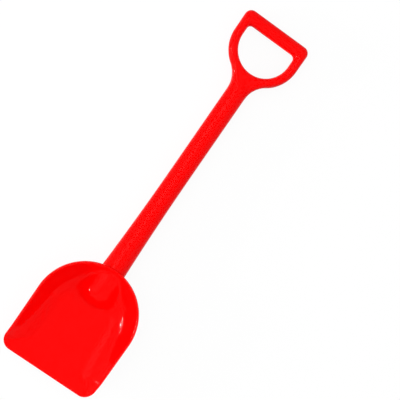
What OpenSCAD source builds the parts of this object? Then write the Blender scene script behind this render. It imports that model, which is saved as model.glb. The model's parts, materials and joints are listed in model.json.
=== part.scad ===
// Sand shovel: a dished blade, and a hollow handle of two shells with a D-grip.
// The shovel is drawn along its shaft: Y runs from the tip of the blade to the top of the grip,
// Z points out of the dish, and Y = Z = 0 is the tip's place on the shaft axis.
// The finished shovel is then laid on its heel and the lowest end of its handle.

/* [Blade] */
// Width over the rim, where its round back begins
blade_w = 108.8; // [96:0.2:124]
// Width over the rim at the corners of the tip
tip_w = 107.6; // [96:0.2:124]
// Length from the tip to the crest of the rim
blade_len = 124; // [112:1:150]
// Corner radius at the tip, seen from above
tip_corner_r = 12; // [9:0.5:18]
// Thickness of floor and wall
blade_wall = 2.6; // [1.8:0.1:3.4]
// Height of the floor above the shaft axis at the tip
tip_rise = 2; // [0:0.5:5]
// Angle between the floor and the shaft
lift_angle = 8.8; // [7.5:0.1:11]
// Height of the rim above the shaft axis at the front of the sides
rim_front_rise = 10; // [7:0.5:13]
// Height of the rim above the shaft axis at its crest
rim_back_rise = 14.5; // [14:0.5:20]
// Length over which the sides drop to the tip
rim_drop_len = 24; // [16:1:40]
// Run of the wall for each millimetre of its height
wall_lean = 1.05; // [0.8:0.05:1.2]
// Share of the run taken by the curve between floor and wall
wall_curve_share = 0.55; // [0.4:0.05:0.8]
// Least run of the wall, at the tip
lip_run = 6; // [3:0.5:8]

/* [Shaft] */
// Length of the shovel from tip to grip top
overall_len = 417; // [380:1:460]
// Diameter of the straight part of the shaft
shaft_d = 21.1; // [18:0.1:23]
// Diameter of the shaft where it meets the blade
foot_d = 25.6; // [23:0.1:27]
// Length of the flare above the blade
flare_len = 116; // [60:1:150]
// Thickness of the handle shells
shell_wall = 2.4; // [1.8:0.1:3]

/* [Grip] */
// Width of the hand opening
opening_w = 56.9; // [48:0.2:64]
// Length of the hand opening along the shaft
opening_len = 39.7; // [36:0.1:46]
// Width of the side arms
arm_w = 9.8; // [8.5:0.1:12]
// Thickness of the side arms
arm_t = 14; // [12:0.1:16]
// Diameter of the crossbar
bar_d = 14.5; // [13:0.1:17]
// Overhang of the crossbar beyond the arms
bar_overhang = 0.2; // [0.2:0.1:1]
// Radius of the inner corners under the crossbar
inner_corner_r = 4.5; // [3:0.1:6]
// Radius of the curve from the shaft into the arms
shoulder_r = 24; // [16:1:30]

/* [Socket joint] */
// Diameter of the handle's spigot
spigot_d = 16.8; // [14:0.1:18]
// Reach of the spigot below the crest of the rim
spigot_reach = 35; // [32:0.5:38]
// Rounding of the spigot's end
spigot_round = 5; // [3:0.5:6]
// Wall of the socket around the spigot
socket_wall = 2.2; // [1.6:0.1:3]
// Clearance between spigot and socket, and between shaft foot and blade
socket_clear = 0.2; // [0.1:0.05:0.4]

/* [Pegs] */
// Distance of the first peg from the crest of the rim
first_peg_gap = 38.4; // [36:0.2:50]
// Number of pegs along the shaft
shaft_pegs = 4; // [2:1:6]
// Diameter of the pegs in the shaft
shaft_peg_d = 4; // [3:0.1:5]
// Diameter of the pegs in the crossbar
bar_peg_d = 3; // [2:0.1:3.4]
// Wall of the tubes that take the pegs
peg_tube_wall = 1.5; // [1:0.1:2]
// Clearance around a peg
peg_clear = 0.12; // [0.05:0.01:0.2]

/* [Screw] */
// Diameter of the screw's shank
screw_d = 3.2; // [2.5:0.1:4]
// Length of the screw under its head
screw_len = 15; // [13:0.5:16]
// Diameter of the screw's head
screw_head_d = 6.8; // [5:0.1:8]
// Height of the screw's head
screw_head_h = 1.9; // [1.4:0.1:2.4]
// Clearance around the screw
screw_clear = 0.15; // [0.05:0.01:0.3]
// Distance of the screw from the end of the spigot
screw_inset = 6; // [5:0.5:9]

/* [Hidden] */
plastic = "red";

// Blade outline and heights
half_w = blade_w / 2;
tip_half_w = tip_w / 2;
back_u = blade_len - half_w;
corner_steps = 6;
side_steps = 6;
back_steps = 28;
wall_steps = 8;
curve_gain = 1 / (1 - wall_curve_share / 2);
envelope_top = rim_back_rise + foot_d;
rim_angles = [45, 90, 135];

function blend(t) = t * t * (3 - 2 * t);
function floor_z(u) = tip_rise - u * tan(lift_angle);
function rim_z(u) = rim_front_rise + (rim_back_rise - rim_front_rise) * u / blade_len;
function wall_h(u) = (rim_z(u) - floor_z(u)) * blend(min(1, u / rim_drop_len));
function wall_run(u) = max(wall_lean * wall_h(u), lip_run);

// Share of the wall's height and slope at a share of its run: a curve first, then straight
function wall_rise(a) =
    a < wall_curve_share
        ? curve_gain * a * a / (2 * wall_curve_share)
        : curve_gain * (a - wall_curve_share / 2);
function wall_slope(u, a) = wall_h(u) * curve_gain * min(1, a / wall_curve_share) / wall_run(u);

// Stations along the rim outline, each with its place and the angle of its outward direction
function arc_stations(x, u, r, from, to, steps) =
    [for (i = [0:steps]) let (q = from + (to - from) * i / steps) [x + r * cos(q), u + r * sin(q), q]];
function side_station(side, i, q) =
    let (t = pow(i / side_steps, 2))
    [side * (tip_half_w + (half_w - tip_half_w) * t), tip_corner_r + (back_u - tip_corner_r) * t, q];
rim_stations = concat(
    arc_stations(tip_half_w - tip_corner_r, tip_corner_r, tip_corner_r, -90, 0, corner_steps),
    [for (i = [1:side_steps - 1]) side_station(1, i, 0)],
    arc_stations(0, back_u, half_w, 0, 180, back_steps),
    [for (i = [side_steps - 1:-1:1]) side_station(-1, i, 180)],
    arc_stations(tip_corner_r - tip_half_w, tip_corner_r, tip_corner_r, 180, 270, corner_steps));

function outward(station) = [cos(station[2]), sin(station[2]), 0];

// A point of the wall at share a of its run, moved out through the wall by depth
function wall_point(station, a, depth) =
    let (
        u = station[1],
        q = station[2],
        rim_slope = wall_slope(u, 1),
        slope = wall_slope(u, a),
        rim_inset = blade_wall / 2 * (1 + rim_slope / norm([1, rim_slope])),
        inward = rim_inset + wall_run(u) * (1 - a),
        z = floor_z(u - inward * sin(q)) + wall_h(u) * wall_rise(a),
        d = inward - depth * slope / norm([1, slope])
    )
    [station[0] - d * cos(q), u - d * sin(q), z - depth / norm([1, slope])];

// The rim's rounded edge, at angle w from its inner side to its outer side
function rim_point(station, w) =
    let (
        q = station[2],
        slope = wall_slope(station[1], 1),
        inner = wall_point(station, 1, 0),
        outer = wall_point(station, 1, blade_wall),
        along = [cos(q), sin(q), slope] / norm([1, slope])
    )
    (inner + outer) / 2 + (inner - outer) / 2 * cos(w) + along * blade_wall / 2 * sin(w);

wall_shares = [for (j = [0:wall_steps]) j / wall_steps];
wall_shares_down = [for (j = [wall_steps:-1:0]) j / wall_steps];

function dish_section(station) = concat(
    [for (a = wall_shares) wall_point(station, a, 0)],
    [for (w = rim_angles) rim_point(station, w)],
    [for (a = wall_shares_down) wall_point(station, a, blade_wall)]);

// The outside of the dish grown by a clearance, carried straight up above the rim
function envelope_section(station, grow) = concat(
    [[station[0], station[1], envelope_top] + grow * outward(station)],
    [for (w = rim_angles) if (w >= 90) rim_point(station, w) + grow * outward(station)],
    [for (a = wall_shares_down) wall_point(station, a, blade_wall + grow)]);

// Handle sizes
foot_u = blade_len - spigot_reach + spigot_round;
bar_u = overall_len - bar_d / 2;
ring_u = overall_len - bar_d - opening_len + opening_w / 2;
ring_r = (opening_w + arm_w) / 2;
bar_end_x = opening_w / 2 + arm_w + bar_overhang - bar_d / 2;
shoulder_x = shaft_d / 2 + shoulder_r;
shoulder_span = opening_w / 2 + arm_w + shoulder_r;
shoulder_u = ring_u - sqrt(pow(shoulder_span, 2) - pow(shoulder_x, 2));
shoulder_end_u = ring_u - (ring_u - shoulder_u) * (opening_w / 2 + arm_w) / shoulder_span;
hollow_u = blade_len + shell_wall;
flare_steps = 12;
oval_steps = 28;
cap_step = 15;
shoulder_steps = 12;
shoulder_overlap = 5;
shoulder_inset = 0.25;
shoulder_proud = 0.06;
shoulder_sink = 1;
shoulder_end_t = arm_t / 2 - shoulder_sink;
corner_overlap = arm_w / 3;
corner_half_t = arm_t / 4;
round_fn = 64;
ring_fn = 96;
hole_fn = 48;
peg_fn = 32;

function shaft_r(u) =
    let (t = max(0, 1 - max(0, u - blade_len) / flare_len))
    shaft_d / 2 + (foot_d - shaft_d) / 2 * t * t;

// Angles around an oval section, and around its front half
oval_angles = [for (i = [0:oval_steps - 1]) 360 * (i + 0.5) / oval_steps];
half_angles = [for (i = [0:oval_steps / 2]) 360 * i / oval_steps];

// Half width of the shoulder between shaft and ring
function shoulder_w(u) = shoulder_x - sqrt(pow(shoulder_r, 2) - pow(u - shoulder_u, 2));

// Joint sizes
spigot_end_u = blade_len - spigot_reach;
socket_fill = half_w;
screw_u = spigot_end_u + screw_inset;
socket_bore_r = spigot_d / 2 + socket_clear;
screw_seat_z = -socket_bore_r - socket_wall;
peg_len = shaft_d / 4;
bar_peg_len = bar_d / 4;
peg_first_u = blade_len + first_peg_gap;
peg_last_u = shoulder_u - shaft_d / 2;
bar_peg_x = opening_w / 4;

// The pose at rest: the line under the heel and the end of the shaft or the crossbar becomes the ground
heel_station = [0, blade_len, 90];
heel_points = [for (a = wall_shares) wall_point(heel_station, a, blade_wall)];
function bar_angle(p) = atan2(-p[2], bar_u - p[1]) - asin(bar_d / 2 / norm([bar_u - p[1], p[2]]));
function shaft_angle(p) = atan2(-shaft_d / 2 - shoulder_proud - p[2], shoulder_u - p[1]);
rest_tilt = max([for (p = heel_points) min(bar_angle(p), shaft_angle(p))]);
tip_y = (tip_rise - blade_wall / 2) * sin(rest_tilt);
top_y = bar_u * cos(rest_tilt) + bar_d / 2;
rest_y = -(tip_y + top_y) / 2;
rest_z = max([for (p = heel_points) p[1] * sin(rest_tilt) - p[2] * cos(rest_tilt)]);

module lying() {
    translate([0, rest_y, rest_z])
        rotate([-rest_tilt, 0, 0])
            children();
}

// A closed skin over columns of points: the columns go round, and flat faces close their two ends
module skin(columns) {
    n = len(columns);
    m = len(columns[0]);
    function id(i, j) = (i % n) * m + j;
    points = [for (column = columns) each column];
    sides = [
        for (i = [0:n - 1], j = [0:m - 2])
            each [[id(i, j), id(i + 1, j), id(i + 1, j + 1)], [id(i, j), id(i + 1, j + 1), id(i, j + 1)]]
    ];
    first = [for (i = [n - 1:-1:0]) id(i, 0)];
    last = [for (i = [0:n - 1]) id(i, m - 1)];
    polyhedron(points, concat(sides, [first, last]));
}

// A solid of revolution about the shaft axis, from a profile of radius and length
module turned(profile) {
    rotate([-90, 90, 0])
        rotate_extrude($fn = round_fn)
            polygon(profile);
}

// The half of such a solid on the front side
module half_turned(profile) {
    rotate([-90, 180, 0])
        rotate_extrude(angle = 180, $fn = round_fn)
            polygon(profile);
}

// The spigot's profile, grown for the socket's bore and wall
function spigot_profile(grow, top_u) =
    let (r = spigot_d / 2 - spigot_round, u = spigot_end_u + spigot_round)
    concat(
        [[0, spigot_end_u - grow]],
        [for (q = [-90:cap_step:0]) [r, u] + (spigot_round + grow) * [cos(q), sin(q)]],
        [[spigot_d / 2 + grow, top_u], [0, top_u]]);

module dish() {
    skin([for (station = rim_stations) dish_section(station)]);
}

module dish_envelope(grow) {
    skin([for (station = rim_stations) envelope_section(station, grow)]);
}

// The bulge in the dish that forms the socket, filled down to the floor
module socket_bulge() {
    grow = socket_clear + socket_wall;
    profile = spigot_profile(grow, blade_len);
    intersection() {
        union() {
            turned(profile);
            translate([0, 0, -socket_fill])
                linear_extrude(socket_fill) {
                    polygon(profile);
                    mirror([1, 0]) polygon(profile);
                }
        }
        dish_envelope(0);
    }
}

module screw_hole(from_z, to_z, d) {
    translate([0, screw_u, from_z])
        cylinder(d = d, h = to_z - from_z, $fn = hole_fn);
}

module blade() {
    color(plastic)
        lying()
            difference() {
                union() {
                    dish();
                    socket_bulge();
                }
                turned(spigot_profile(socket_clear, blade_len + foot_d));
                screw_hole(-half_w, 0, screw_d + 2 * screw_clear);
                screw_hole(-half_w, screw_seat_z, screw_head_d + 2 * screw_clear);
            }
}

// Edge of the shaft, or of its hollow at an inset, between two places
function shaft_edge(inset, from_u, to_u) =
    let (
        flare = [for (i = [0:flare_steps]) blade_len + flare_len * i / flare_steps],
        stops = concat([from_u], [for (u = flare) if (u > from_u && u < to_u) u], [to_u])
    )
    [for (u = stops) [shaft_r(u) - inset, u]];

// A profile closed along the axis, from its outer edge
function to_axis(edge) = concat([[0, edge[0][1]]], edge, [[0, edge[len(edge) - 1][1]]]);

// The front half of the shoulder, which spreads from the round shaft into the lower half of the ring
module shoulder_half() {
    base = [shoulder_u - shoulder_overlap, shaft_d / 2 - shoulder_inset, shaft_d / 2 - shoulder_inset];
    spread = [
        for (k = [0:shoulder_steps])
            let (
                t = k / shoulder_steps,
                u = shoulder_u + (shoulder_end_u - shoulder_u) * t,
                proud = k < shoulder_steps ? shoulder_proud : -shoulder_inset
            )
            [u, shoulder_w(u) + proud, shaft_d / 2 + proud + (shoulder_end_t - shaft_d / 2) * blend(t)]
    ];
    rows = concat([base], spread);
    skin([for (q = half_angles) [for (row = rows) [row[1] * cos(q), row[0], row[2] * sin(q)]]]);
}

// The front half of the grip: half ring, side arms, crossbar and the rounded corners under it
module grip_half() {
    section = [for (q = half_angles) [arm_w / 2 * cos(q), arm_t / 2 * sin(q)]];
    cap = bar_d / 2;
    bar_profile = concat(
        [for (q = [-90:cap_step:0]) [cap * cos(q), cap * sin(q) - bar_end_x]],
        [for (q = [0:cap_step:90]) [cap * cos(q), cap * sin(q) + bar_end_x]]);
    translate([0, ring_u, 0])
        rotate([0, 0, 180])
            rotate_extrude(angle = 180, $fn = ring_fn)
                translate([ring_r, 0])
                    polygon(section);
    for (side = [-1, 1])
        translate([side * ring_r, bar_u, 0])
            rotate([90, 0, 0])
                linear_extrude(bar_u - ring_u)
                    polygon(section);
    translate([0, bar_u, 0])
        rotate([90, 0, 90])
            rotate_extrude(angle = 180, $fn = round_fn)
                polygon(bar_profile);
    for (side = [0, 1])
        mirror([side, 0, 0])
            translate([opening_w / 2 - inner_corner_r, bar_u - bar_d / 2 - inner_corner_r, 0])
                linear_extrude(corner_half_t)
                    difference() {
                        square(inner_corner_r + corner_overlap);
                        circle(r = inner_corner_r, $fn = hole_fn);
                    }
}

// The hollow of shaft, ring, arms and crossbar
module handle_hollow() {
    half_oval = [arm_w / 2 - shell_wall, arm_t / 2 - shell_wall];
    section = [for (q = oval_angles) [half_oval[0] * cos(q), half_oval[1] * sin(q)]];
    turned(to_axis(concat(
        shaft_edge(shell_wall, hollow_u, shoulder_u),
        [[arm_t / 2 - shell_wall, ring_u - ring_r]])));
    translate([0, ring_u, 0])
        rotate([0, 0, 180])
            rotate_extrude(angle = 180, $fn = ring_fn)
                translate([ring_r, 0])
                    polygon(section);
    for (side = [-1, 1])
        translate([side * ring_r, bar_u, 0])
            rotate([90, 0, 0])
                linear_extrude(bar_u - ring_u)
                    polygon(section);
    translate([-bar_end_x, bar_u, 0])
        rotate([0, 90, 0])
            cylinder(d = bar_d - 2 * shell_wall, h = 2 * bar_end_x, $fn = round_fn);
}

// One shell of the handle: side 1 is the front, side -1 the back
module handle_shell(side) {
    flip = [0, 0, side < 0 ? 1 : 0];
    difference() {
        union() {
            difference() {
                mirror(flip) half_turned(to_axis(shaft_edge(0, foot_u, shoulder_u + shoulder_inset)));
                dish_envelope(socket_clear);
            }
            mirror(flip) {
                half_turned(spigot_profile(0, hollow_u));
                shoulder_half();
                grip_half();
            }
        }
        handle_hollow();
        screw_hole(-half_w, screw_seat_z + screw_len + screw_clear, screw_d + 2 * screw_clear);
        screw_hole(-half_w, screw_seat_z, screw_head_d + 2 * screw_clear);
    }
}

// Places of the pegs along the shaft
peg_us = [for (i = [0:shaft_pegs - 1]) peg_first_u + (peg_last_u - peg_first_u) * i / (shaft_pegs - 1)];

// A peg on the front shell, on a stem from its wall
module peg(x, u, d, length, stem_h) {
    translate([x, u, -length])
        cylinder(d = d, h = length + stem_h / 2, $fn = peg_fn);
    translate([x, u, 0])
        cylinder(d = d + 2 * peg_tube_wall, h = stem_h, $fn = peg_fn);
}

// The tube on the back shell that takes a peg
module peg_tube(x, u, d, length, depth) {
    translate([x, u, -depth])
        difference() {
            cylinder(d = d + 2 * peg_clear + 2 * peg_tube_wall, h = depth, $fn = peg_fn);
            translate([0, 0, depth - length - peg_clear])
                cylinder(d = d + 2 * peg_clear, h = depth, $fn = peg_fn);
        }
}

module handle_front() {
    color(plastic)
        lying() {
            handle_shell(1);
            for (u = peg_us)
                peg(0, u, shaft_peg_d, peg_len, shaft_r(u) - shell_wall / 2);
            for (x = [-bar_peg_x, bar_peg_x])
                peg(x, bar_u, bar_peg_d, bar_peg_len, (bar_d - shell_wall) / 2);
        }
}

module handle_back() {
    color(plastic)
        lying() {
            handle_shell(-1);
            for (u = peg_us)
                peg_tube(0, u, shaft_peg_d, peg_len, shaft_r(u) - shell_wall / 2);
            for (x = [-bar_peg_x, bar_peg_x])
                peg_tube(x, bar_u, bar_peg_d, bar_peg_len, (bar_d - shell_wall) / 2);
        }
}

module socket_screw() {
    color("silver")
        lying()
            translate([0, screw_u, screw_seat_z]) {
                cylinder(d = screw_d, h = screw_len, $fn = hole_fn);
                translate([0, 0, -screw_head_h])
                    cylinder(d = screw_head_d, h = screw_head_h, $fn = hole_fn);
            }
}

blade();
handle_front();
handle_back();
socket_screw();
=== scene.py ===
"""Looks of a child's sand shovel: a glossy red blade, a hollow two-shell handle with a D-grip, and one hidden screw.

The pieces are worked out in the shovel's own axes, in millimetres: x to the right across the blade, u along the
shaft from the blade's tip to the grip, and z out of the dish, with the shaft's axis at x = z = 0. LYING then lays
them on the floor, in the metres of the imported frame.
"""
import json
import math

import bmesh
import bpy
from mathutils import Matrix, Vector


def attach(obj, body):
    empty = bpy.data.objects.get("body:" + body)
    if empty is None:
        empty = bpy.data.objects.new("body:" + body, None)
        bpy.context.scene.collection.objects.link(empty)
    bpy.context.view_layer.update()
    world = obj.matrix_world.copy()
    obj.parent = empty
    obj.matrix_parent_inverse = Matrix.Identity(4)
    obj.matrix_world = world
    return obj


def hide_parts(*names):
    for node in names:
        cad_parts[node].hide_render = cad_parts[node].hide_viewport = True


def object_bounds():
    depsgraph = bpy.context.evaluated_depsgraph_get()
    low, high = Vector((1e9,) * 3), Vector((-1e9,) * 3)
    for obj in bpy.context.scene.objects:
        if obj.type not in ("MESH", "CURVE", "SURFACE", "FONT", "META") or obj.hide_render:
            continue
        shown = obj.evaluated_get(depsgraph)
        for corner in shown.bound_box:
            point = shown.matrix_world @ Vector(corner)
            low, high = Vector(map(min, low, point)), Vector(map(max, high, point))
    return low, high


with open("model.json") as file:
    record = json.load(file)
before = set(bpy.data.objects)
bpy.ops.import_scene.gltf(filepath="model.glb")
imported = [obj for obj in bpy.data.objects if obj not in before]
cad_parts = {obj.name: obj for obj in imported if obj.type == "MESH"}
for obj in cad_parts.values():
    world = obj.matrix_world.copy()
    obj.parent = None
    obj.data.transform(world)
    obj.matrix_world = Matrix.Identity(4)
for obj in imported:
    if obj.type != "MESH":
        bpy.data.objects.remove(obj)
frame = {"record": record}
cad_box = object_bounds()

# Metres in a millimetre, distances below which vertices or edges are one, and the least angle of a sharp edge
MM = 0.001
CLOSE = 0.002
THIN = 0.0002
SHARP = math.radians(38)

# Blade
BLADE_W = 108.77
TIP_W = 107.6
BLADE_LEN = 124.0
TIP_CORNER_R = 12.0
BLADE_WALL = 2.6
TIP_RISE = 2.0
LIFT_SLOPE = math.tan(math.radians(8.8))
RIM_FRONT_RISE = 10.0
RIM_BACK_RISE = 14.5
RIM_DROP_LEN = 24.0
WALL_LEAN = 1.05
WALL_CURVE_SHARE = 0.84
WALL_RUN = 24.0
RUN_FILLET = 4.0
LIP_RUN = 6.0
ROLL_W = 1.2
ROLL_H = 3.2
ROLL_START_SHARE = 0.92
BACK_R = BLADE_W / 2
BACK_U = BLADE_LEN - BACK_R
SPINE_FRONT_U = 20.0

# Socket in the back of the dish, and the spigot in it
SPIGOT_R = 8.4
SPIGOT_END_U = 89.0
SPIGOT_ROUND = 5.0
SOCKET_CLEAR = 0.2
SOCKET_MOUTH_U = BLADE_LEN + 9
BULGE_TOP_Z = 10.8
BULGE_HALF_W = 11.2
BULGE_NOSE = 7.5
BULGE_NOSE_U = 95.5
BULGE_ARCH_R = 24.0
BULGE_DRAFT = 2.0
BULGE_SHOULDER = 7.5
BULGE_FILLET = 6.5

# Handle
OVERALL_LEN = 417.0
SHAFT_R = 10.55
FOOT_R = 12.8
FOOT_END_U = BLADE_LEN + 6
FLARE_LEN = 116.0
SHELL_WALL = 2.4
FOOT_GAP = 0.12
SHOULDER_R = 24.0
SEAM_DEPTH = 0.25
SEAM_SHARE = 0.022
FAIR_BELOW, FAIR_ABOVE = 8.0, 12.0
FAIR_OFF_SEAM = 0.5
FAIR_PASSES = 14

# D-grip
OPENING_R = 28.45
OPENING_LEN = 39.7
ARM_W = 9.8
ARM_T = 14.0
BAR_R = 7.25
BAR_OVERHANG = 0.2
INNER_CORNER_R = 4.5

# Screw
SCREW_U = 95.0
SCREW_SEAT_Z = -10.8
SCREW_R = 1.6
SCREW_CORE_R = 1.15
SCREW_END_Z = 4.2
SCREW_POINT = 3.0
SCREW_HEAD_R = 3.4
SCREW_HEAD_H = 1.9
SCREW_HEAD_ROUND = 1.3
SCREW_CLEAR = 0.15
RECESS_END_Z = -20.0
SCREW_PITCH = 1.3
THREAD_START_Z = -8.4
THREAD_TURNS = 7
THREAD_ROOT_R = SCREW_CORE_R * 0.9
THREAD_CREST_RISE, THREAD_RISE = SCREW_PITCH * 0.3, SCREW_PITCH * 0.6
CROSS_LEN, CROSS_W, CROSS_DEEP = 4.2, 0.85, 1.2

# Mesh steps
CORNER_STEPS, SIDE_STEPS, BACK_STEPS, TIP_STEPS = 10, 26, 240, 44
WALL_STEPS, RIM_STEPS, UNDER_STEPS = 40, 8, 16
FLOOR_SHARES = (0, 0.25, 0.5, 0.65, 0.75, 0.8, 0.84, 0.88, 0.92, 0.96, 1)
UNDER_FLOOR_SHARES = (0.7, 0.35, 0)
OUTER_STEPS, WEB_STEPS = 12, 10
FOOT_STEPS, SHAFT_STEPS, SHOULDER_STEPS = 8, 36, 14
RING_STEPS, ARM_STEPS, GRIP_CORNER_STEPS, BAR_STEPS = 18, 3, 14, 6
ROUND_STEPS, BORE_STEPS, HOLE_STEPS, SCREW_STEPS, THREAD_STEPS = 6, 64, 48, 40, 24
HALVINGS = 30

BAR_U = OVERALL_LEN - BAR_R
OPENING_TOP_U = BAR_U - BAR_R
RING_U = OPENING_TOP_U - OPENING_LEN + OPENING_R
RING_R = OPENING_R + ARM_W / 2
OUTER_R = OPENING_R + ARM_W
SHOULDER_X = SHAFT_R + SHOULDER_R
SHOULDER_U = RING_U - math.sqrt((OUTER_R + SHOULDER_R) ** 2 - SHOULDER_X ** 2)
SHOULDER_TURN = math.atan2(RING_U - SHOULDER_U, -SHOULDER_X)
FORK_TURN = SHOULDER_TURN - math.pi
FORK_U = RING_U - RING_R


def lying():
    """Matrix from the shovel's own millimetres to the frame, read from the grip's mount."""
    grip = next(mount for mount in frame["record"]["mounts"] if mount["name"] == "grip_loop")
    turn = Matrix.Rotation(-math.atan2(grip["axis"][1], grip["axis"][2]), 4, "X")
    grip_u = OPENING_TOP_U - OPENING_LEN / 2
    shift = Vector(grip["pos_m"]) - turn @ Vector((0, grip_u * MM, 0))
    return Matrix.Translation(shift) @ turn @ Matrix.Scale(MM, 4)


LYING = lying()


def ease(share):
    """Smooth step from 0 to 1."""
    share = min(1.0, max(0.0, share))
    return share * share * (3 - 2 * share)


def mix(a, b, share):
    return a + (b - a) * share


def soft_max(a, b, width):
    """The larger of two heights, with a fillet where they cross."""
    return (a + b + math.hypot(a - b, width)) / 2


# Form of the dish
def floor_z(u):
    return TIP_RISE - u * LIFT_SLOPE


def wall_height(u):
    rim_z = mix(RIM_FRONT_RISE, RIM_BACK_RISE, u / BLADE_LEN)
    return (rim_z - floor_z(u)) * ease(u / RIM_DROP_LEN)


def wall_run(u):
    run = soft_max(WALL_LEAN * wall_height(u), WALL_RUN * ease(u / RIM_DROP_LEN), RUN_FILLET)
    return max(run, LIP_RUN)


WALL_GAIN = 1 / (1 - WALL_CURVE_SHARE / 2)


def wall_rise(share):
    if share < WALL_CURVE_SHARE:
        return WALL_GAIN * share * share / (2 * WALL_CURVE_SHARE)
    return WALL_GAIN * (share - WALL_CURVE_SHARE / 2)


def wall_slope(u, share):
    return wall_height(u) * WALL_GAIN * min(1.0, share / WALL_CURVE_SHARE) / wall_run(u)


def rim_inset(u):
    slope = wall_slope(u, 1)
    return BLADE_WALL / 2 * (1 + slope / math.hypot(1, slope))


def wall_point(station, share, depth=0.0):
    """Point of the wall, from its foot at share 0 to its top at 1, and a depth below the dish's skin."""
    x, u, turn = station
    slope = wall_slope(u, share)
    inward = rim_inset(u) + wall_run(u) * (1 - share)
    z = floor_z(u - inward * math.sin(turn)) + wall_height(u) * wall_rise(share)
    inward -= depth * slope / math.hypot(1, slope)
    z -= depth / math.hypot(1, slope)
    return Vector((x - inward * math.cos(turn), u - inward * math.sin(turn), z))


def floor_point(station, share, depth=0.0):
    """Point of the floor, from its spine at share 0 to the foot of the wall at 1."""
    foot = wall_point(station, 0)
    spine = Vector((0, min(BACK_U, max(SPINE_FRONT_U, station[1])), 0))
    point = spine.lerp(foot, share)
    return Vector((point.x, point.y, floor_z(point.y) - depth))


def rim_point(station, turn):
    """Point of the rim, from the inner wall at turn 0 to the outer wall at pi.

    The rim is rolled over, but half-round at the tip and behind the shaft's foot.
    """
    inner = wall_point(station, 1)
    outer = wall_point(station, 1, BLADE_WALL)
    across = (inner - outer) / 2
    away = Vector((math.cos(station[2]), math.sin(station[2]), 0))
    along = (away + Vector((0, 0, wall_slope(station[1], 1)))).normalized() * (BLADE_WALL / 2)
    half_round = (inner + outer) / 2 + across * math.cos(turn) + along * math.sin(turn)
    edge = Vector((station[0], station[1], inner.z + along.z / 2))
    if turn < math.pi / 2:
        rolled = inner.lerp(edge - away * ROLL_W, math.sin(turn))
    else:
        over = (turn / (math.pi / 2) - 1) / (1 - 2 / RIM_STEPS)
        rolled = edge - away * ROLL_W * (1 - over) - Vector((0, 0, ROLL_H * over ** 1.5))
    clear_of_shaft = 1.0 if station[1] < BACK_U else ease((abs(station[0]) - SPIGOT_R) / SHAFT_R)
    return half_round.lerp(rolled, ease(station[1] / RIM_DROP_LEN) * clear_of_shaft)


def bulge_z(x, u):
    """Height of the socket's bulge: a low arch with soft shoulders, drafted sides and a rounded nose."""
    nose = max(0.0, BULGE_NOSE_U - u) * BULGE_HALF_W / BULGE_NOSE
    reach = math.hypot(x, nose)
    arch = reach * reach / (2 * BULGE_ARCH_R)
    flank = BULGE_DRAFT * (reach - BULGE_HALF_W)
    return BULGE_TOP_Z - soft_max(arch, flank, BULGE_SHOULDER)


def with_bulge(point, fillet):
    return Vector((point.x, point.y, soft_max(point.z, bulge_z(point.x, point.y), fillet)))


def skin_z(x, u, depth):
    """Height of the outside of the dish's back, a depth below its inner skin."""
    turn = math.atan2(u - BACK_U, x)
    reach = math.hypot(x, u - BACK_U)
    station = (BACK_R * math.cos(turn), BACK_U + BACK_R * math.sin(turn), turn)
    low, high = 0.0, 1.0
    for _ in range(HALVINGS):
        share = (low + high) / 2
        point = wall_point(station, share, depth)
        if math.hypot(point.x, point.y - BACK_U) < reach:
            low = share
        else:
            high = share
    return point.z


def skin_u(x, z, depth):
    """Where a line along the shaft meets the outside of the dish's back."""
    low, high = SPIGOT_END_U, BLADE_LEN
    for _ in range(HALVINGS):
        u = (low + high) / 2
        if skin_z(x, u, depth) < z:
            low = u
        else:
            high = u
    return u


def rim_stations():
    """Places round the outline: x, u and the outward direction, anticlockwise from the tip's right corner."""
    tip_x = TIP_W / 2
    right = []
    for step in range(CORNER_STEPS):
        turn = math.pi / 2 * (step / CORNER_STEPS - 1)
        x = tip_x + TIP_CORNER_R * (math.cos(turn) - 1)
        right.append((x, TIP_CORNER_R * (math.sin(turn) + 1), turn))
    for step in range(SIDE_STEPS):
        share = step / SIDE_STEPS
        right.append((mix(tip_x, BACK_R, share), mix(TIP_CORNER_R, BACK_U, share), 0.0))
    back = []
    for step in range(BACK_STEPS + 1):
        turn = math.pi * step / BACK_STEPS
        back.append((BACK_R * math.cos(turn), BACK_U + BACK_R * math.sin(turn), turn))
    left = [(-x, u, math.pi - turn) for x, u, turn in reversed(right)]
    edge_x = tip_x - TIP_CORNER_R
    tip = [(mix(-edge_x, edge_x, step / TIP_STEPS), 0.0, -math.pi / 2) for step in range(1, TIP_STEPS)]
    return right + back + left + tip


# Mesh helpers
def sweep(bm, chain, rows, closed=False):
    """Extrudes a chain of vertices through rows of places, and returns the last chain."""
    for places in rows:
        ends = chain[1:] + chain[:1] if closed else chain[1:]
        edges = [bm.edges.get(pair) for pair in zip(chain, ends)]
        made = bmesh.ops.extrude_edge_only(bm, edges=edges)["geom"]
        grown = {}
        olds = set(chain)
        for vert in (item for item in made if isinstance(item, bmesh.types.BMVert)):
            for edge in vert.link_edges:
                if edge.other_vert(vert) in olds:
                    grown[edge.other_vert(vert)] = vert
        chain = [grown[vert] for vert in chain]
        for vert, place in zip(chain, places):
            vert.co = place
    return chain


def start_chain(bm, places):
    chain = [bm.verts.new(place) for place in places]
    for pair in zip(chain, chain[1:]):
        bm.edges.new(pair)
    return chain


def turned(bm, profile, steps, matrix):
    """Turns a profile of (radius, height) round the z axis, and places it."""
    chain = start_chain(bm, [(radius, 0, height) for radius, height in profile])
    geom = chain + [bm.edges.get(pair) for pair in zip(chain, chain[1:])]
    bmesh.ops.spin(bm, geom=geom, cent=(0, 0, 0), axis=(0, 0, 1), angle=2 * math.pi, steps=steps, use_merge=True)
    bmesh.ops.remove_doubles(bm, verts=bm.verts, dist=CLOSE)
    bmesh.ops.recalc_face_normals(bm, faces=bm.faces)
    bmesh.ops.transform(bm, matrix=matrix, verts=bm.verts)


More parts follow.
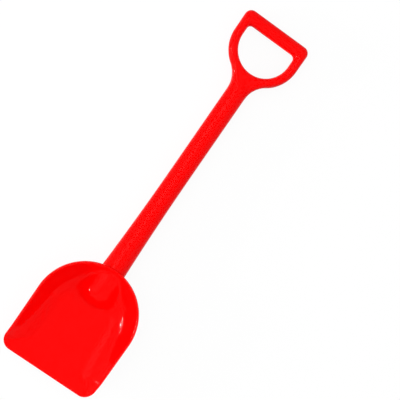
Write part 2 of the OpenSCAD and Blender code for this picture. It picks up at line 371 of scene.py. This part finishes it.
def as_object(bm, name):
    mesh = bpy.data.meshes.new(name)
    bm.to_mesh(mesh)
    bm.free()
    made = bpy.data.objects.new(name, mesh)
    bpy.context.collection.objects.link(made)
    return made


def cut_away(piece, cutters):
    """Takes cutters out of a piece, applies that to its mesh, clears faces without area and removes the cutters."""
    for cutter in cutters:
        cut = piece.modifiers.new(cutter.name, "BOOLEAN")
        cut.operation = "DIFFERENCE"
        cut.solver = "EXACT"
        cut.object = cutter
    mesh = bpy.data.meshes.new_from_object(piece.evaluated_get(bpy.context.evaluated_depsgraph_get()))
    piece.modifiers.clear()
    bm = bmesh.new()
    bm.from_mesh(mesh)
    bmesh.ops.dissolve_degenerate(bm, edges=bm.edges, dist=THIN)
    bm.to_mesh(mesh)
    bm.free()
    piece.data = mesh
    for cutter in cutters:
        bpy.data.objects.remove(cutter)


def finish_piece(piece, node, material):
    """Lays a piece on the floor, keeps its heights between the floor and the CAD box's top, shades it, and makes it
    stand for a CAD node.
    """
    piece.data.transform(LYING)
    for vert in piece.data.vertices:
        vert.co.z = min(max(vert.co.z, 0.0), cad_box[1][2])
    piece.data.shade_smooth()
    piece.data.set_sharp_from_angle(angle=SHARP)
    piece.data.materials.clear()
    piece.data.materials.append(material)
    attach(piece, "root")
    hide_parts(node)


# Blade
def blade_rows():
    """Rows of places from the floor's spine, up the wall, over the rim and back along the underside."""
    stations = rim_stations()
    rows = [[with_bulge(floor_point(s, share), BULGE_FILLET) for s in stations] for share in FLOOR_SHARES]
    for step in range(1, WALL_STEPS + 1):
        share = step / WALL_STEPS
        fillet = BULGE_FILLET * (1 - share ** 4)
        rows.append([with_bulge(wall_point(s, share), fillet) for s in stations])
    for step in range(1, RIM_STEPS):
        rows.append([rim_point(s, math.pi * step / RIM_STEPS) for s in stations])
    for step in range(UNDER_STEPS + 1):
        rows.append([wall_point(s, ROLL_START_SHARE * (1 - step / UNDER_STEPS), BLADE_WALL) for s in stations])
    for share in UNDER_FLOOR_SHARES:
        rows.append([floor_point(s, share, BLADE_WALL) for s in stations])
    return rows


def round_nose(radius, round_r, end):
    """Profile of a pin with a rounded end: (radius, distance along it) from its axis outwards."""
    profile = [(0.0, end)]
    for step in range(ROUND_STEPS + 1):
        turn = math.pi / 2 * step / ROUND_STEPS
        profile.append((radius - round_r * (1 - math.sin(turn)), end + round_r * (1 - math.cos(turn))))
    return profile


ALONG_SHAFT = Matrix.Rotation(-math.pi / 2, 4, "X")
SCREW_PLACE = Matrix.Translation((0, SCREW_U, 0))


def make_blade(material):
    rows = blade_rows()
    bm = bmesh.new()
    ring = bmesh.ops.create_circle(bm, segments=len(rows[0]), radius=BACK_R)["verts"]
    for vert, place in zip(ring, rows[0]):
        vert.co = place
    sweep(bm, ring, rows[1:], closed=True)
    bmesh.ops.remove_doubles(bm, verts=bm.verts, dist=CLOSE)
    bmesh.ops.recalc_face_normals(bm, faces=bm.faces)
    piece = as_object(bm, "shovel_blade")

    bore = bmesh.new()
    bore_r = SPIGOT_R + SOCKET_CLEAR
    nose = round_nose(bore_r, SPIGOT_ROUND + SOCKET_CLEAR, SPIGOT_END_U - SOCKET_CLEAR)
    turned(bore, nose + [(bore_r, SOCKET_MOUTH_U), (0, SOCKET_MOUTH_U)], BORE_STEPS, ALONG_SHAFT)
    hole = bmesh.new()
    hole_r, recess_r = SCREW_R + SCREW_CLEAR, SCREW_HEAD_R + SCREW_CLEAR
    recess = [(0, RECESS_END_Z), (recess_r, RECESS_END_Z), (recess_r, SCREW_SEAT_Z)]
    turned(hole, recess + [(hole_r, SCREW_SEAT_Z), (hole_r, 0), (0, 0)], HOLE_STEPS, SCREW_PLACE)
    cut_away(piece, [as_object(bore, "bore"), as_object(hole, "screw_hole")])
    finish_piece(piece, "blade", material)


# Handle
def shaft_radius(u):
    share = max(0.0, 1 - max(0.0, u - BLADE_LEN) / FLARE_LEN)
    return mix(SHAFT_R, FOOT_R, share * share)


def half_turns(steps):
    """Angles from the seam to the ridge of a section, with a narrow first step for the groove of the seam."""
    return [0.0] + [math.pi / 2 * mix(SEAM_SHARE, 1, step / (steps - 1)) for step in range(steps)]


def round_place(radius, u, turn):
    """Point on a round section, with the seam's groove at turn 0."""
    radius -= SEAM_DEPTH if turn == 0 else 0
    return Vector((radius * math.cos(turn), u, radius * math.sin(turn)))


def oval_place(outer, inner, half_t, turn):
    """Point on the grip's oval section, from its outer seam at turn 0 to its inner seam at pi."""
    middle = (outer + inner) / 2
    half = outer - middle
    if turn in (0, math.pi):
        half = half * (1 - SEAM_DEPTH / half.length)
    flat = middle + half * math.cos(turn)
    return Vector((flat.x, flat.y, half_t * math.sin(turn)))


def ring_ends(turn):
    toward = Vector((math.cos(turn), math.sin(turn)))
    centre = Vector((0, RING_U))
    return centre + toward * OUTER_R, centre + toward * OPENING_R


def grip_path():
    """Outer and inner outline and half thickness round the right half of the grip, from the fork to its middle."""
    path = [(*ring_ends(FORK_TURN * (1 - step / RING_STEPS)), ARM_T / 2) for step in range(1, RING_STEPS + 1)]
    corner_u = OPENING_TOP_U - INNER_CORNER_R
    corner_x = OPENING_R - INNER_CORNER_R
    for step in range(1, ARM_STEPS + 1):
        u = mix(RING_U, corner_u, step / ARM_STEPS)
        path.append((Vector((OUTER_R, u)), Vector((OPENING_R, u)), ARM_T / 2))
    bar_x = OUTER_R + BAR_OVERHANG - BAR_R
    lengths = (BAR_U - corner_u, BAR_R * math.pi / 2, bar_x - corner_x)
    for step in range(1, GRIP_CORNER_STEPS + 1):
        share = step / GRIP_CORNER_STEPS
        gone = share * sum(lengths)
        if gone < lengths[0]:
            outer = Vector((OUTER_R + BAR_OVERHANG * gone / lengths[0], corner_u + gone))
        elif gone < lengths[0] + lengths[1]:
            turn = (gone - lengths[0]) / BAR_R
            outer = Vector((bar_x + BAR_R * math.cos(turn), BAR_U + BAR_R * math.sin(turn)))
        else:
            outer = Vector((bar_x - (gone - lengths[0] - lengths[1]), OVERALL_LEN))
        turn = math.pi / 2 * share
        inner = Vector((corner_x + INNER_CORNER_R * math.cos(turn), corner_u + INNER_CORNER_R * math.sin(turn)))
        path.append((outer, inner, mix(ARM_T / 2, BAR_R, ease(share))))
    for step in range(1, BAR_STEPS + 1):
        x = corner_x * (1 - step / BAR_STEPS)
        path.append((Vector((x, OVERALL_LEN)), Vector((x, OPENING_TOP_U)), BAR_R))
    return path


def foot_rows(turns, side):
    """Rows from the spigot's end, over the step at the blade's back, to the straight part of the shaft."""
    def on_skin(radius, turn):
        return skin_u(radius * math.cos(turn), side * radius * math.sin(turn), BLADE_WALL + FOOT_GAP)

    rows = [[round_place(radius, u, turn) for turn in turns]
            for radius, u in round_nose(SPIGOT_R, SPIGOT_ROUND, SPIGOT_END_U)[1:]]
    nose_u = SPIGOT_END_U + SPIGOT_ROUND
    for share in (0.5, 1):
        rows.append([round_place(SPIGOT_R, mix(nose_u, on_skin(SPIGOT_R, t), share), t) for t in turns])
    for share in (0.5, 1):
        radius = mix(SPIGOT_R, FOOT_R, share)
        rows.append([round_place(radius, on_skin(radius, t), t) for t in turns])
    ends = [on_skin(FOOT_R, t) for t in turns]
    for step in range(1, FOOT_STEPS + 1):
        row = [mix(end, FOOT_END_U, step / FOOT_STEPS) for end in ends]
        rows.append([round_place(shaft_radius(u), u, t) for u, t in zip(row, turns)])
    return rows


def shoulder_rows(turns, last_row):
    """Rows that spread the shaft into the fork of the grip, between the outline and the middle line."""
    first_row = [round_place(SHAFT_R, SHOULDER_U, turn) for turn in turns]
    rows = []
    for step in range(1, SHOULDER_STEPS + 1):
        share = step / SHOULDER_STEPS
        turn = mix(math.pi, SHOULDER_TURN, share)
        reach = SHOULDER_R + SEAM_DEPTH
        edge = Vector((SHOULDER_X + reach * math.cos(turn), SHOULDER_U + reach * math.sin(turn), 0))
        ridge = Vector((0, mix(SHOULDER_U, FORK_U, share), mix(SHAFT_R, ARM_T / 2, ease(share))))
        row = []
        for column, (first, last) in enumerate(zip(first_row, last_row)):
            over = column / (len(turns) - 1)
            along = first.lerp(last, ease(share))
            corners = first_row[0].lerp(last_row[0], ease(share)).lerp(
                first_row[-1].lerp(last_row[-1], ease(share)), over)
            row.append(along + edge.lerp(ridge, over) - corners)
        rows.append(row)
    return rows


def make_handle_shell(name, node, side, material):
    """One half of the handle, with side 1 for the front and -1 for the back: shaft first, then the fork and grip."""
    turns = half_turns(OUTER_STEPS + WEB_STEPS)
    rows = foot_rows(turns, side)
    for step in range(1, SHAFT_STEPS + 1):
        u = mix(FOOT_END_U, SHOULDER_U, step / SHAFT_STEPS)
        rows.append([round_place(shaft_radius(u), u, turn) for turn in turns])

    outer_turns = half_turns(OUTER_STEPS)
    inner_turns = [math.pi - turn for turn in reversed(outer_turns)]
    fork = ring_ends(FORK_TURN)
    last_row = [oval_place(*fork, ARM_T / 2, turn) for turn in outer_turns]
    web_turns = [mix(FORK_TURN, -math.pi / 2, step / WEB_STEPS) for step in range(WEB_STEPS + 1)]
    for turn in web_turns[1:]:
        last_row.append(Vector((RING_R * math.cos(turn), RING_U + RING_R * math.sin(turn), ARM_T / 2)))
    junction = shoulder_rows(turns, last_row)

    bm = bmesh.new()
    chain = start_chain(bm, [Vector((0, SPIGOT_END_U, 0))] * len(turns))
    chain = sweep(bm, chain, rows)
    chain = sweep(bm, chain, junction)
    web = [[oval_place(*ring_ends(turn), ARM_T / 2, section) for turn in web_turns] for section in inner_turns[1:]]
    fork_chain = chain[:OUTER_STEPS + 1]
    web_chain = chain[OUTER_STEPS:]
    for row in web:
        web_chain = sweep(bm, web_chain, [row])
        fork_chain.append(web_chain[0])
    section = outer_turns + inner_turns[1:]
    sweep(bm, fork_chain, [[oval_place(*ends, turn) for turn in section] for ends in grip_path()])

    bmesh.ops.mirror(bm, geom=bm.verts[:] + bm.edges[:] + bm.faces[:], axis="X", merge_dist=CLOSE)
    bmesh.ops.remove_doubles(bm, verts=bm.verts, dist=CLOSE)
    fair = [v for v in bm.verts if SHOULDER_U - FAIR_BELOW < v.co.y < FORK_U + FAIR_ABOVE
            and not v.is_boundary and v.co.z > FAIR_OFF_SEAM]
    for _ in range(FAIR_PASSES):
        bmesh.ops.smooth_vert(bm, verts=fair, factor=0.5, use_axis_x=True, use_axis_y=True, use_axis_z=True)
    bmesh.ops.scale(bm, vec=(1, 1, side), verts=bm.verts)
    bmesh.ops.recalc_face_normals(bm, faces=bm.faces)
    piece = as_object(bm, name)
    finish_piece(piece, node, material)
    wall = piece.modifiers.new("wall", "SOLIDIFY")
    wall.thickness = SHELL_WALL * MM
    wall.offset = -1


# Screw
def cross_bar(name, size, low_z):
    """Cutter for one bar of the cross recess in the screw's head."""
    bm = bmesh.new()
    bmesh.ops.create_cube(bm, size=1)
    bmesh.ops.scale(bm, vec=size, verts=bm.verts)
    bmesh.ops.translate(bm, vec=(0, SCREW_U, low_z + size[2] / 2 - SCREW_CLEAR), verts=bm.verts)
    return as_object(bm, name)


def add_thread(bm):
    """Winds the thread's profile up the screw's core."""
    profile = ((THREAD_ROOT_R, 0), (SCREW_R, THREAD_CREST_RISE), (THREAD_ROOT_R, THREAD_RISE))
    verts = [bm.verts.new((radius, 0, THREAD_START_Z + rise)) for radius, rise in profile]
    face = bm.faces.new(verts)
    bmesh.ops.spin(bm, geom=verts + list(face.edges) + [face], cent=(0, 0, 0), axis=(0, 0, 1),
                   dvec=(0, 0, SCREW_PITCH / THREAD_STEPS), angle=2 * math.pi * THREAD_TURNS,
                   steps=THREAD_STEPS * THREAD_TURNS)
    bmesh.ops.recalc_face_normals(bm, faces=bm.faces)


def make_screw(material):
    head_z = SCREW_SEAT_Z - SCREW_HEAD_H
    profile = round_nose(SCREW_HEAD_R, SCREW_HEAD_ROUND, head_z)
    profile += [(SCREW_HEAD_R, SCREW_SEAT_Z), (SCREW_CORE_R, SCREW_SEAT_Z)]
    profile += [(SCREW_CORE_R, SCREW_END_Z - SCREW_POINT), (0, SCREW_END_Z)]
    bm = bmesh.new()
    turned(bm, profile, SCREW_STEPS, SCREW_PLACE)
    piece = as_object(bm, "socket_screw_turned")
    cut_away(piece, [cross_bar("long_bar", (CROSS_LEN, CROSS_W, CROSS_DEEP), head_z),
                     cross_bar("cross_bar", (CROSS_W, CROSS_LEN, CROSS_DEEP), head_z)])
    thread = bmesh.new()
    add_thread(thread)
    bmesh.ops.transform(thread, matrix=SCREW_PLACE, verts=thread.verts)
    thread.from_mesh(piece.data)
    thread.to_mesh(piece.data)
    thread.free()
    finish_piece(piece, "socket_screw", material)


# Materials
class Shade:
    """A socket of a material's nodes: arithmetic adds Math nodes, and add() brings in any other node."""

    def __init__(self, tree, socket=None):
        self.tree = tree
        self.socket = socket

    def add(self, kind, settings=None, inputs=None, output=0):
        node = self.tree.nodes.new(kind)
        for name, value in (settings or {}).items():
            setattr(node, name, value)
        for name, value in (inputs or {}).items():
            if isinstance(value, Shade):
                self.tree.links.new(value.socket, node.inputs[name])
            else:
                node.inputs[name].default_value = value
        return Shade(self.tree, node.outputs[output] if node.outputs else None)

    def math(self, operation, first, second):
        return self.add("ShaderNodeMath", {"operation": operation}, {0: first, 1: second})

    def __add__(self, other):
        return self.math("ADD", self, other)

    def __mul__(self, other):
        return self.math("MULTIPLY", self, other)

    __radd__ = __add__
    __rmul__ = __mul__


def new_material(name):
    material = bpy.data.materials.new(name)
    material.use_nodes = True
    material.node_tree.nodes.clear()
    return material, Shade(material.node_tree)


def red_plastic():
    """Glossy moulded plastic: a deep red with faint flow clouds and a slightly uneven moulded skin."""
    material, nodes = new_material("red_plastic")
    place = nodes.add("ShaderNodeTexCoord", output="Object")
    flow = nodes.add("ShaderNodeTexNoise", None, {"Vector": place, "Scale": 14.0, "Detail": 3.0})
    peel = nodes.add("ShaderNodeTexNoise", None, {"Vector": place, "Scale": 55.0, "Detail": 1.0})
    deep, bright = (0.93, 0.0003, 0.0005, 1), (0.99, 0.0009, 0.0008, 1)
    colour = nodes.add("ShaderNodeMix", {"data_type": "RGBA"}, {0: flow, 6: deep, 7: bright}, 2)
    skin = nodes.add("ShaderNodeBump", None, {"Strength": 0.1, "Distance": 0.0002, "Height": peel})
    shader = nodes.add("ShaderNodeBsdfPrincipled", None, {
        "Base Color": colour, "Roughness": 0.08 + flow * 0.03, "Specular IOR Level": 0.052,
        "Normal": skin})
    nodes.add("ShaderNodeOutputMaterial", None, {"Surface": shader})
    return material


def screw_steel():
    """Zinc-plated steel with a patchy sheen."""
    material, nodes = new_material("screw_steel")
    place = nodes.add("ShaderNodeTexCoord", output="Object")
    patch = nodes.add("ShaderNodeTexNoise", None, {"Vector": place, "Scale": 900.0, "Detail": 3.0})
    grey, pale = (0.55, 0.56, 0.58, 1), (0.72, 0.73, 0.74, 1)
    colour = nodes.add("ShaderNodeMix", {"data_type": "RGBA"}, {0: patch, 6: grey, 7: pale}, 2)
    shader = nodes.add("ShaderNodeBsdfPrincipled", None, {
        "Base Color": colour, "Metallic": 1.0, "Roughness": 0.28 + patch * 0.16})
    nodes.add("ShaderNodeOutputMaterial", None, {"Surface": shader})
    return material


# Floor, light and camera
FLOOR_SIZE = 12.0
FLOOR_WHITE = 0.93
FLOOR_PALE = (0.9, 0.9, 0.9, 1)
FLOOR_SHADE = (0.16, 0.16, 0.16, 1)
HORIZON_LIGHT, ZENITH_LIGHT = 0.88, 0.92
LAMPS = (
    ("streak", (-1.05, -0.58, 0.20), 0.6, 0.04, 7.0),
    ("glint", (-1.02, -0.60, 0.29), 0.1, 0.07, 6.0),
    ("softbox", (-0.72, 0.0, 1.31), 1.3, 0.9, 3.7),
)
LENS = 144.0
VIEW_SIDE, VIEW_TILT, VIEW_ROLL = math.radians(9.65), math.radians(-2.45), math.radians(34.708)
VIEW_TARGET = Vector((0.03182, 0.02129, 0.01))
VIEW_DISTANCE = 1.60879
VIEW_REACH = 50.0


def make_floor():
    """Pale floor that shows white to the camera and keeps a soft shadow."""
    bm = bmesh.new()
    bmesh.ops.create_grid(bm, x_segments=1, y_segments=1, size=FLOOR_SIZE)
    floor = as_object(bm, "floor")
    material, nodes = new_material("floor_white")
    seen = nodes.add("ShaderNodeLightPath", output="Is Camera Ray")
    glossy = nodes.add("ShaderNodeLightPath", output="Is Glossy Ray")
    through = nodes.add("ShaderNodeLightPath", output="Is Transmission Ray")
    matt = nodes.add("ShaderNodeBsdfDiffuse", None, {"Color": FLOOR_PALE})
    white = nodes.add("ShaderNodeEmission", None, {"Color": (1, 1, 1, 1), "Strength": 1.0})
    shown = nodes.add("ShaderNodeMixShader", None, {0: FLOOR_WHITE, 1: matt, 2: white})
    bounce = nodes.add("ShaderNodeBsdfDiffuse", None, {"Color": FLOOR_SHADE})
    shader = nodes.add("ShaderNodeMixShader", None, {0: seen + glossy + through, 1: bounce, 2: shown})
    nodes.add("ShaderNodeOutputMaterial", None, {"Surface": shader})
    floor.data.materials.append(material)


def make_world():
    """Even studio light that grows from the horizon to the zenith."""
    world = bpy.data.worlds.new("studio")
    bpy.context.scene.world = world
    world.use_nodes = True
    world.node_tree.nodes.clear()
    nodes = Shade(world.node_tree)
    toward = nodes.add("ShaderNodeTexCoord", output="Generated")
    height = nodes.add("ShaderNodeSeparateXYZ", None, {"Vector": toward}, "Z")
    rise = nodes.add("ShaderNodeClamp", None, {"Value": height})
    light = HORIZON_LIGHT + rise * (ZENITH_LIGHT - HORIZON_LIGHT)
    sky = nodes.add("ShaderNodeBackground", None, {"Color": (1, 1, 1, 1), "Strength": light})
    nodes.add("ShaderNodeOutputWorld", None, {"Surface": sky})


def make_lamp(name, place, length, width, watts):
    """Area lamp that faces the shovel, with its length level."""
    data = bpy.data.lights.new(name, "AREA")
    data.shape = "RECTANGLE"
    data.size = length
    data.size_y = width
    data.energy = watts
    lamp = bpy.data.objects.new(name, data)
    lamp.matrix_world = Matrix.Translation(place) @ Vector(place).to_track_quat("Z", "Y").to_matrix().to_4x4()
    bpy.context.collection.objects.link(lamp)


def make_camera():
    toward = Vector((-math.sin(VIEW_SIDE) * math.cos(VIEW_TILT), math.sin(VIEW_TILT),
                     math.cos(VIEW_SIDE) * math.cos(VIEW_TILT)))
    right = Vector((0, 1, 0)).cross(toward).normalized()
    up = toward.cross(right)
    turn = Matrix((right, up, toward)).transposed() @ Matrix.Rotation(VIEW_ROLL, 3, "Z")
    data = bpy.data.cameras.new("camera")
    data.lens = LENS
    data.clip_end = VIEW_REACH
    camera = bpy.data.objects.new("camera", data)
    camera.matrix_world = Matrix.Translation(VIEW_TARGET + toward * VIEW_DISTANCE) @ turn.to_4x4()
    bpy.context.collection.objects.link(camera)
    bpy.context.scene.camera = camera


bpy.context.scene.view_settings.view_transform = "Standard"
plastic = red_plastic()
make_blade(plastic)
make_handle_shell("shovel_handle_front", "handle_front", 1, plastic)
make_handle_shell("shovel_handle_back", "handle_back", -1, plastic)
make_screw(screw_steel())
make_floor()
make_world()
for lamp in LAMPS:
    make_lamp(*lamp)
make_camera()

bpy.context.view_layer.update()
